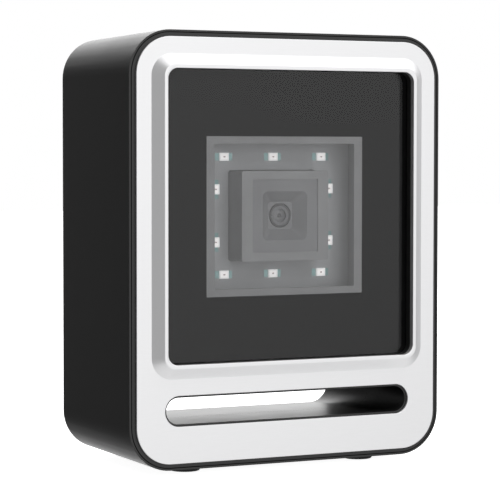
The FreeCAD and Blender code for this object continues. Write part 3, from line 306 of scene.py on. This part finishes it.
def make_materials():
    """Every finish on the scanner, by the parts that have it."""
    tones, plate = bpy.context.scene.scanner_colours, bpy.context.scene.scanner_plate
    even, along_x = (1, 1, 1), (0.05, 1.0, 1.0)
    turned, drawn = (1, 0.1, 1), (1, 0.2, 1)
    return {
        # ABS from a spark-eroded mould: satin black with a soft broken sheen
        plastic("moulded_black_abs", tones.case, 0.36, 0.35, 0.012): (
            "rear_housing", "front_frame"),
        # lacquered pressed aluminium: near-white silver, hairline grain along X
        metal("brushed_silver_lacquer", tones.plate, 0.34, 0.22, along_x, 0.0015, 0.85): (
            "bezel_plate",),
        # float glass: clear, with an even dark mirror over the black border
        float_glass("float_glass", "#FBFBFB", 1.5): ("scan_window",),
        # screen-printed ink: dense and even, it gets its gloss from the glass in front
        plastic("screen_printed_ink", tones.ink, 0.5, 0.2, 0.001, sheen=0.0): (
            "window_border",),
        # acrylic foam tape: matt, faintly cellular
        plastic("acrylic_foam_tape", "#18181A", 0.85, 0.4, 0.03): ("bezel_tape", "window_tape"),
        # moulded silicone rubber: matt, with a fine sanded tooth
        plastic("moulded_rubber", "#1D1D1E", 0.75, 0.3, 0.02, sheen=0.3): (
            "foot_front_left", "foot_front_right", "foot_rear_left", "foot_rear_right"),
        # matt ABS from a fine-eroded mould: an even mid grey with no highlight
        plastic("moulded_grey_abs", tones.shroud, 0.6, 0.3, 0.01): ("light_shroud",),
        # solder mask over laminate: smooth, slightly glossy, with the weave just showing
        plastic("grey_solder_mask", tones.lamp_board, 0.5, 0.9, 0.004): (
            "led_board", "sensor_board", "led_resistors"),
        # the same in green, glossier, as on a plain electronics board
        plastic("green_solder_mask", "#0F4A2B", 0.35, 0.9, 0.004): ("decoder_board",),
        # high-temperature nylon: bright white, slightly waxy, with a painted glow that brightens
        # it
        plastic("white_lamp_nylon", "#F4F5F5", 0.4, 0.2, 0.002, glow=0.32): (
            "led_packages",),
        # hot-air levelled tin under a clear coat: soft greenish shine beside each lamp
        metal("tinned_pad", tones.lamp_pad, 0.35, 0.3, even, 0.004, 0.7): ("led_pads",),
        # silicone gel over the chip: glossy, faintly warm, with a stronger painted glow that
        # brightens it
        plastic("phosphor_gel", "#F6F2F1", 0.2, 0.2, 0.002, glow=0.55): ("led_phosphors",),
        # transfer-moulded epoxy: dull black with a sandy tooth
        plastic("moulded_chip_epoxy", "#1A1A1B", 0.55, 0.25, 0.006): (
            "processor_chip", "memory_chips"),
        # satin ABS: a mid grey that shades softly down the funnel
        plastic("moulded_hood_abs", tones.hood, 0.55, 0.3, 0.01): (
            "camera_hood", "lens_holder"),
        # die-cut closed-cell foam: fully matt and a little paler than the hood
        plastic("foam_gasket", "#999A9C", 0.9, 0.4, 0.02): ("hood_gasket",),
        # anodised turned aluminium: fine turning marks along its axis
        metal("dark_anodised_aluminium", "#4A4B4E", 0.4, 0.15, turned, 0.003, 0.6): (
            "lens_barrel",),
        metal("grey_anodised_aluminium", "#707174", 0.4, 0.15, turned, 0.003, 0.6): (
            "lens_retaining_ring",),
        # ground glass with an anti-reflection coat: a painted grey reflection round a small dark
        # pupil of painted shade
        coated_lens("coated_lens_glass", middle_of(*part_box("lens_element")), plate.pupil): (
            "lens_element",),
        # polished cover glass over silicon: nearly black, with a sharp highlight
        plastic("sensor_cover_glass", "#20262A", 0.08, 0.5, 0.001): ("image_sensor",),
        # ABS from an unfinished mould: dull charcoal
        plastic("moulded_carrier_abs", "#2A2A2B", 0.6, 0.35, 0.012): ("inner_chassis",),
        # deep-drawn aluminium: bright, with faint draw lines
        metal("drawn_aluminium_can", "#C9CACC", 0.3, 0.2, turned, 0.002): ("capacitors",),
        # natural nylon: warm off-white and waxy
        plastic("connector_nylon", "#E3DED2", 0.5, 0.25, 0.005): (
            "sensor_connector", "decoder_connector"),
        # laminated polyester film: smooth, cool white
        plastic("ribbon_laminate", "#DDE3EA", 0.35, 1.0, 0.003): ("ribbon_cable",),
        # pressed phenolic resin: black with a dull speckled tooth
        plastic("buzzer_phenolic", "#161617", 0.5, 0.3, 0.008): ("buzzer",),
        # glass-filled nylon: dark satin inside the rear opening
        plastic("socket_nylon", "#222224", 0.45, 0.3, 0.006): ("cable_socket",),
        # electroplated gold on drawn wire: warm and bright
        metal("gold_plate", "#E2B964", 0.25, 0.1, drawn, 0.001): ("socket_contacts",),
        # clear zinc plate on cold-headed steel: cool grey with a soft shine
        metal("zinc_plated_steel", "#B9BBBE", 0.32, 0.2, even, 0.003): (
            "housing_screws", "chassis_screws", "engine_screws", "decoder_screws"),
    }


# ---------------------------------------------------------------- geometry


def finished(shape, name, node, replaces=True):
    """Makes an object of the shape, in the place and finish of a part."""
    mesh = bpy.data.meshes.new(name)
    shape.to_mesh(mesh)
    shape.free()
    mesh.shade_smooth()
    mesh.set_sharp_from_angle(angle=math.radians(SMOOTH_ANGLE))
    piece = bpy.data.objects.new(name, mesh)
    bpy.context.scene.collection.objects.link(piece)
    even = piece.modifiers.new("even_shading", "WEIGHTED_NORMAL")
    even.keep_sharp = True
    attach(piece, BARREL if node in PARTS_OF_BARREL else BODY)
    if replaces:
        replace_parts(piece, node)
    return piece


def soften(node, name, width, polished=None):
    """A copy of a part with its sharp edges rounded. Its faces inside the polished box take the
    second finish."""
    shape = bmesh.new()
    shape.from_mesh(frame["nodes"][node].data)
    bmesh.ops.remove_doubles(shape, verts=shape.verts, dist=WELD)
    bmesh.ops.dissolve_limit(shape, angle_limit=math.radians(FLAT_ANGLE), verts=shape.verts,
                             edges=shape.edges)
    sharp = [edge for edge in shape.edges
             if edge.is_manifold and math.degrees(edge.calc_face_angle(0.0)) > SHARP_ANGLE]
    bmesh.ops.bevel(shape, geom=sharp, offset=width, offset_type="OFFSET", segments=EDGE_STEPS,
                    profile=0.5, affect="EDGES", clamp_overlap=True, material=-1)
    if polished is not None:
        low, high = polished
        for face in shape.faces:
            centre = face.calc_center_median()
            if all(low[axis] < centre[axis] < high[axis] for axis in range(3)):
                face.material_index = 1
    return finished(shape, name, node)


def ring(shape, size, middle, depth, grow, corner):
    """The edges of a rounded rectangle that faces -Y: size grown by grow on each side."""
    width, height = size[0] + 2 * grow, size[1] + 2 * grow
    before = set(shape.faces)
    verts = bmesh.ops.create_grid(shape, x_segments=1, y_segments=1, size=0.5)["verts"]
    bmesh.ops.scale(shape, vec=(width, height, 1), verts=verts)
    bmesh.ops.rotate(shape, cent=(0, 0, 0), matrix=Matrix.Rotation(math.pi / 2, 3, "X"),
                     verts=verts)
    bmesh.ops.translate(shape, vec=(middle[0], depth, middle[1]), verts=verts)
    radius = min(corner, WIDEST_CORNER * width, WIDEST_CORNER * height)
    bmesh.ops.bevel(shape, geom=verts, offset=radius, offset_type="OFFSET",
                    segments=CORNER_STEPS, profile=0.5, affect="VERTICES", material=-1)
    face = [item for item in shape.faces if item not in before][0]
    edges = list(face.edges)
    bmesh.ops.delete(shape, geom=[face], context="FACES_ONLY")
    return edges


def rounded(corners):
    """Points along a section whose corners are (out, depth, radius), with arcs at the corners
    that have a radius."""
    points = [Vector(corners[0][:2])]
    for before, here, after in zip(corners, corners[1:], corners[2:]):
        spot = Vector(here[:2])
        if here[2] == 0:
            points.append(spot)
            continue
        back = (Vector(before[:2]) - spot).normalized()
        onward = (Vector(after[:2]) - spot).normalized()
        half = back.angle(onward) / 2
        centre = spot + (back + onward).normalized() * here[2] / math.sin(half)
        start = spot + back * here[2] / math.tan(half) - centre
        end = spot + onward * here[2] / math.tan(half) - centre
        points += [centre + start.slerp(end, step / BEND_STEPS) * here[2]
                   for step in range(BEND_STEPS + 1)]
    points.append(Vector(corners[-1][:2]))
    return points


def fill(shape, loops):
    """A flat face between an outline and the openings in it."""
    bmesh.ops.triangle_fill(shape, edges=[edge for loop in loops for edge in loop],
                            use_beauty=True, normal=(0, -1, 0))


def sweep(shape, section, size, middle, corner):
    """Skins a section round a rounded rectangle. corner gives the corner radius for a distance
    out. It returns the first and the last ring of edges."""
    rings = [ring(shape, size, middle, depth, out, corner(out)) for out, depth in section]
    for place, (near, far) in enumerate(zip(rings, rings[1:])):
        if abs(section[place][1] - section[place + 1][1]) < FLUSH:
            fill(shape, (near, far))
        else:
            bmesh.ops.bridge_loops(shape, edges=near + far)
    return rings[0], rings[-1]


def width_height(low, high):
    return high[0] - low[0], high[2] - low[2]


def middle_of(low, high):
    return (low[0] + high[0]) / 2, (low[2] + high[2]) / 2


# ---------------------------------------------------------------- operators

class SCANNER_OT_casing(bpy.types.Operator):
    """Rounds the edges of the housing and of the frame in it"""
    bl_idname = "scanner.casing"
    bl_label = "Finish the casing"

    def execute(self, context):
        edges, plate = context.scene.scanner_edges, context.scene.scanner_plate
        low, high = through_slot()
        middle, reach = (low[2] + high[2]) / 2, plate.tunnel_reach
        tunnel = ((-plate.tunnel_width / 2, CAD_LOW[1], middle - reach),
                  (plate.tunnel_width / 2, CAD_HIGH[1] - REAR_SKIN, middle + reach))
        soften("rear_housing", "rear_housing_moulded", edges.moulded, tunnel)
        soften("front_frame", "front_frame_moulded", edges.frame, tunnel)
        return {"FINISHED"}


class SCANNER_OT_plate(bpy.types.Operator):
    """Presses the silver plate: rounded outline, raised and folded rim, and slot"""
    bl_idname = "scanner.plate"
    bl_label = "Press the silver plate"

    def execute(self, context):
        plate, edges = context.scene.scanner_plate, context.scene.scanner_edges
        low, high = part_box("bezel_plate")
        glass_low, glass_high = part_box("scan_window")
        top, back = low[1], high[1]
        face = back - plate.sheet
        glass = width_height(glass_low, glass_high)
        window = [side - 2 * plate.glass_overlap for side in glass]
        foot = plate.rim_lip + plate.rim_slope
        crest_corner = plate.foot_corner - plate.rim_slope

        def window_corner(out):
            if out > plate.rim_lip:
                return crest_corner + out - plate.rim_lip
            return plate.window_corner + (crest_corner - plate.window_corner) * out / plate.rim_lip

        shape = bmesh.new()
        outside = rounded([(0, back, 0), (0, face, edges.pressed), (-MARGIN, face, 0)])
        outer = sweep(shape, outside[:-1], width_height(low, high), middle_of(low, high),
                      lambda out: plate.corner + out)
        rim = rounded([(foot + MARGIN, face, 0), (foot, face, edges.bend),
                       (plate.rim_lip, top, edges.bend), (0, top, edges.pressed),
                       (0, top + plate.fold, 0), (plate.sheet, top + plate.fold, 0),
                       (plate.sheet, top + plate.sheet, 0),
                       (plate.rim_lip, top + plate.sheet, 0), (foot, back, 0)])
        raised = sweep(shape, rim[1:], window, middle_of(glass_low, glass_high), window_corner)
        slot_low, slot_high = through_slot()
        round_end = plate.slot_height / 2
        inside = rounded([(MARGIN, face, 0), (0, face, edges.pressed), (0, back, 0)])
        cut = sweep(shape, inside[1:], (plate.slot_width, plate.slot_height),
                    middle_of(slot_low, slot_high), lambda out: round_end + out)
        fill(shape, (outer[1], raised[0], cut[0]))
        fill(shape, (outer[0], raised[1], cut[1]))
        bmesh.ops.remove_doubles(shape, verts=shape.verts, dist=SEAM)
        bmesh.ops.recalc_face_normals(shape, faces=shape.faces)
        finished(shape, "bezel_plate_pressed", "bezel_plate")
        return {"FINISHED"}


class SCANNER_OT_window(bpy.types.Operator):
    """Prints the black border into the back of the glass"""
    bl_idname = "scanner.window"
    bl_label = "Print the window border"

    def execute(self, context):
        plate = context.scene.scanner_plate
        low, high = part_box("window_border")
        hood_low, hood_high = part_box("camera_hood")
        front = low[1] - plate.ink_bond
        shape = bmesh.new()
        corner = plate.window_corner + plate.glass_overlap
        outer = sweep(shape, [(0, high[1]), (0, front)], width_height(low, high),
                      middle_of(low, high), lambda out: corner)
        inner = sweep(shape, [(0, high[1]), (0, front)], (plate.clear_width, plate.clear_height),
                      middle_of(hood_low, hood_high), lambda out: plate.clear_corner)
        for near, far in zip(outer, inner):
            fill(shape, (near, far))
        bmesh.ops.recalc_face_normals(shape, faces=shape.faces)
        finished(shape, "window_border_print", "window_border")
        return {"FINISHED"}


def through_slot():
    """The box of free space through the slot, from the record."""
    for opening in frame["record"]["physics"]["openings"]:
        if opening["name"] == "through_slot":
            return opening["box_m"]
    raise RuntimeError("the record has no through_slot opening")


def islands(mesh):
    """The box of each separate solid in a mesh."""
    shape = bmesh.new()
    shape.from_mesh(mesh)
    bmesh.ops.remove_doubles(shape, verts=shape.verts, dist=WELD)
    left, boxes = set(shape.verts), []
    while left:
        found, waiting = set(), [left.pop()]
        while waiting:
            vert = waiting.pop()
            found.add(vert)
            near = {edge.other_vert(vert) for edge in vert.link_edges} & left
            left -= near
            waiting += near
        boxes.append([[pick(vert.co[axis] for vert in found) for axis in range(3)]
                      for pick in (min, max)])
    shape.free()
    return boxes


class SCANNER_OT_lamps(bpy.types.Operator):
    """Sets the small chip that shows through the gel of each lamp"""
    bl_idname = "scanner.lamps"
    bl_label = "Set the lamp chips"

    def execute(self, context):
        plate = context.scene.scanner_plate
        size = (plate.die_width, 2 * plate.die_proud, plate.die_height)
        shape = bmesh.new()
        for low, high in islands(frame["nodes"]["led_phosphors"].data):
            place = Matrix.Translation(((low[0] + high[0]) / 2, low[1], (low[2] + high[2]) / 2))
            bmesh.ops.create_cube(shape, size=1.0, matrix=place @ Matrix.Diagonal((*size, 1)))
        chips = finished(shape, "lamp_dies", "led_phosphors", replaces=False)
        # ceramic chip under clear gel: a small pale grey mark
        chips.data.materials.append(plastic("lamp_die_ceramic", "#CFCACA", 0.4, 0.2, 0.001))
        return {"FINISHED"}


class SCANNER_OT_materials(bpy.types.Operator):
    """Gives every piece its finish"""
    bl_idname = "scanner.materials"
    bl_label = "Apply the finishes"

    def execute(self, context):
        stands_for = {}
        for piece in context.scene.objects:
            for node in piece.get("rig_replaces", []):
                stands_for[node] = piece
        left = set(frame["nodes"])
        # the same ABS from a polished mould core: smooth and glossy inside the tunnel
        gloss = plastic("polished_black_abs", context.scene.scanner_colours.case, 0.14, 3.0, 0.01)
        for material, nodes in make_materials().items():
            for node in nodes:
                left.discard(node)
                for piece in (frame["nodes"][node], stands_for.get(node)):
                    if piece is not None:
                        piece.data.materials.clear()
                        piece.data.materials.append(material)
                        if node in POLISHED:
                            piece.data.materials.append(gloss)
        if left:
            raise RuntimeError(f"no finish for {sorted(left)}")
        return {"FINISHED"}


def soft_light(name, power, width, height, place, aim):
    """A rectangular softbox that points at aim. It lights, but neither it nor its reflection
    is seen."""
    data = bpy.data.lights.new(name, "AREA")
    data.shape = "RECTANGLE"
    data.size, data.size_y = width, height
    data.energy = power
    lamp = bpy.data.objects.new(name, data)
    lamp.location = place
    lamp.rotation_euler = (Vector(aim) - Vector(place)).to_track_quat("-Z", "Y").to_euler()
    lamp.visible_camera = False
    lamp.visible_glossy = False
    bpy.context.scene.collection.objects.link(lamp)
    return lamp


def patch(world, towards, start, end, strength):
    """A soft-edged bright patch of the studio in one direction: full past end, none before
    start, both of them cosines of the angle from towards."""
    spot = add(world, "TexCoord")
    facing = add(world, "VectorMath", {1: Vector(towards).normalized()},
                 {0: spot.outputs["Generated"]}, operation="DOT_PRODUCT")
    return add(world, "MapRange", {"From Min": start, "From Max": end, "To Max": strength},
               {"Value": facing.outputs["Value"]}, interpolation_type="SMOOTHSTEP").outputs[0]


def surroundings(world, stage):
    """Brightness of the studio by direction: bright above, below, to the front right and to the
    rear right, and dark to the rear left."""
    total = None
    for towards, start, end, strength in (
            ((0.3, 0.3, 0.905), 0.3, 0.9, stage.top), ((0, 0, -1), 0.25, 0.75, stage.below),
            ((0.45, -0.89, 0), -0.14, 0.75, stage.front),
            ((0.2, -0.93, 0.3), 0.7, 0.96, stage.window),
            ((-0.8, -0.6, 0), 0.6, 0.95, stage.left),
            ((0.5, 0.87, 0.05), 0.75, 0.93, stage.rear)):
        light = patch(world, towards, start, end, strength)
        if total is None:
            total = add(world, "Math", {1: stage.fill}, {0: light}, operation="ADD").outputs[0]
        else:
            total = add(world, "Math", links={0: total, 1: light}, operation="ADD").outputs[0]
    return total


class SCANNER_OT_stage(bpy.types.Operator):
    """Sets up the camera, the floor and soft studio light"""
    bl_idname = "scanner.stage"
    bl_label = "Set up the stage"

    def execute(self, context):
        scene = context.scene
        stage = scene.scanner_stage
        data = bpy.data.cameras.new("product_camera")
        data.sensor_width = 36.0
        data.lens = stage.focal
        data.clip_start = 0.01
        camera = bpy.data.objects.new("product_camera", data)
        turn = (Matrix.Rotation(-stage.camera_turn, 4, "Z")
                @ Matrix.Rotation(math.pi / 2 - stage.camera_dip, 4, "X")
                @ Matrix.Rotation(stage.camera_roll, 4, "Z"))
        camera.matrix_world = Matrix.Translation(stage.camera_place) @ turn
        scene.collection.objects.link(camera)
        scene.camera = camera

        shape = bmesh.new()
        bmesh.ops.create_grid(shape, x_segments=8, y_segments=8, size=FLOOR_SIZE)
        mesh = bpy.data.meshes.new("studio_floor")
        shape.to_mesh(mesh)
        shape.free()
        floor = bpy.data.objects.new("studio_floor", mesh)
        scene.collection.objects.link(floor)
        # opal acrylic table lit from below: matt white, so that shadows on it stay faint
        acrylic = new_material("backlit_opal_acrylic")
        matt = add(acrylic, "BsdfPrincipled", {"Base Color": linear(stage.floor),
                                               "Roughness": 0.9, "Specular IOR Level": 0.0,
                                               "Emission Color": linear(stage.floor),
                                               "Emission Strength": stage.glow})
        mesh.materials.append(surface(acrylic, matt))
        floor.visible_diffuse = False
        floor.visible_glossy = False
        floor.visible_transmission = False

        world = bpy.data.worlds.new("studio_surroundings")
        world.use_nodes = True
        world.node_tree.nodes.clear()
        scene.world = world
        path = add(world, "LightPath")
        seen = add(world, "Background", {"Color": (1, 1, 1, 1), "Strength": 1.0})
        room = add(world, "Background", {"Color": (1, 1, 1, 1)},
                   {"Strength": surroundings(world, stage)})
        both = add(world, "MixShader")
        world.node_tree.links.new(path.outputs["Is Camera Ray"], both.inputs[0])
        world.node_tree.links.new(room.outputs[0], both.inputs[1])
        world.node_tree.links.new(seen.outputs[0], both.inputs[2])
        add(world, "OutputWorld", links={"Surface": both.outputs["Shader"]})

        middle = (0, 0, 0.08)
        soft_light("front_softbox", stage.key, 0.9, 0.7, (0.25, -0.75, 0.95), middle)
        scene.view_settings.view_transform = "Standard"
        return {"FINISHED"}


class SCANNER_PT_panel(bpy.types.Panel):
    """Lists the finishing steps and their settings"""
    bl_label = "Scanner"
    bl_idname = "SCANNER_PT_panel"
    bl_space_type = "VIEW_3D"
    bl_region_type = "UI"
    bl_category = "Scanner"

    def draw(self, context):
        for step in STEPS:
            self.layout.operator(step.bl_idname)
        for name, settings in SETTINGS.items():
            group = getattr(context.scene, name)
            for key in settings.__annotations__:
                self.layout.prop(group, key)


STEPS = (SCANNER_OT_stage, SCANNER_OT_casing, SCANNER_OT_plate, SCANNER_OT_window,
         SCANNER_OT_lamps, SCANNER_OT_materials)
CLASSES = (*SETTINGS.values(), *STEPS, SCANNER_PT_panel)


def register():
    for item in CLASSES:
        bpy.utils.register_class(item)
    for name, settings in SETTINGS.items():
        setattr(bpy.types.Scene, name, PointerProperty(type=settings))


def unregister():
    for name in SETTINGS:
        delattr(bpy.types.Scene, name)
    for item in reversed(CLASSES):
        bpy.utils.unregister_class(item)


def main():
    register()
    bpy.ops.scanner.stage()
    bpy.ops.scanner.casing()
    bpy.ops.scanner.plate()
    bpy.ops.scanner.window()
    bpy.ops.scanner.lamps()
    bpy.ops.scanner.materials()


if __name__ == "__main__":
    main()
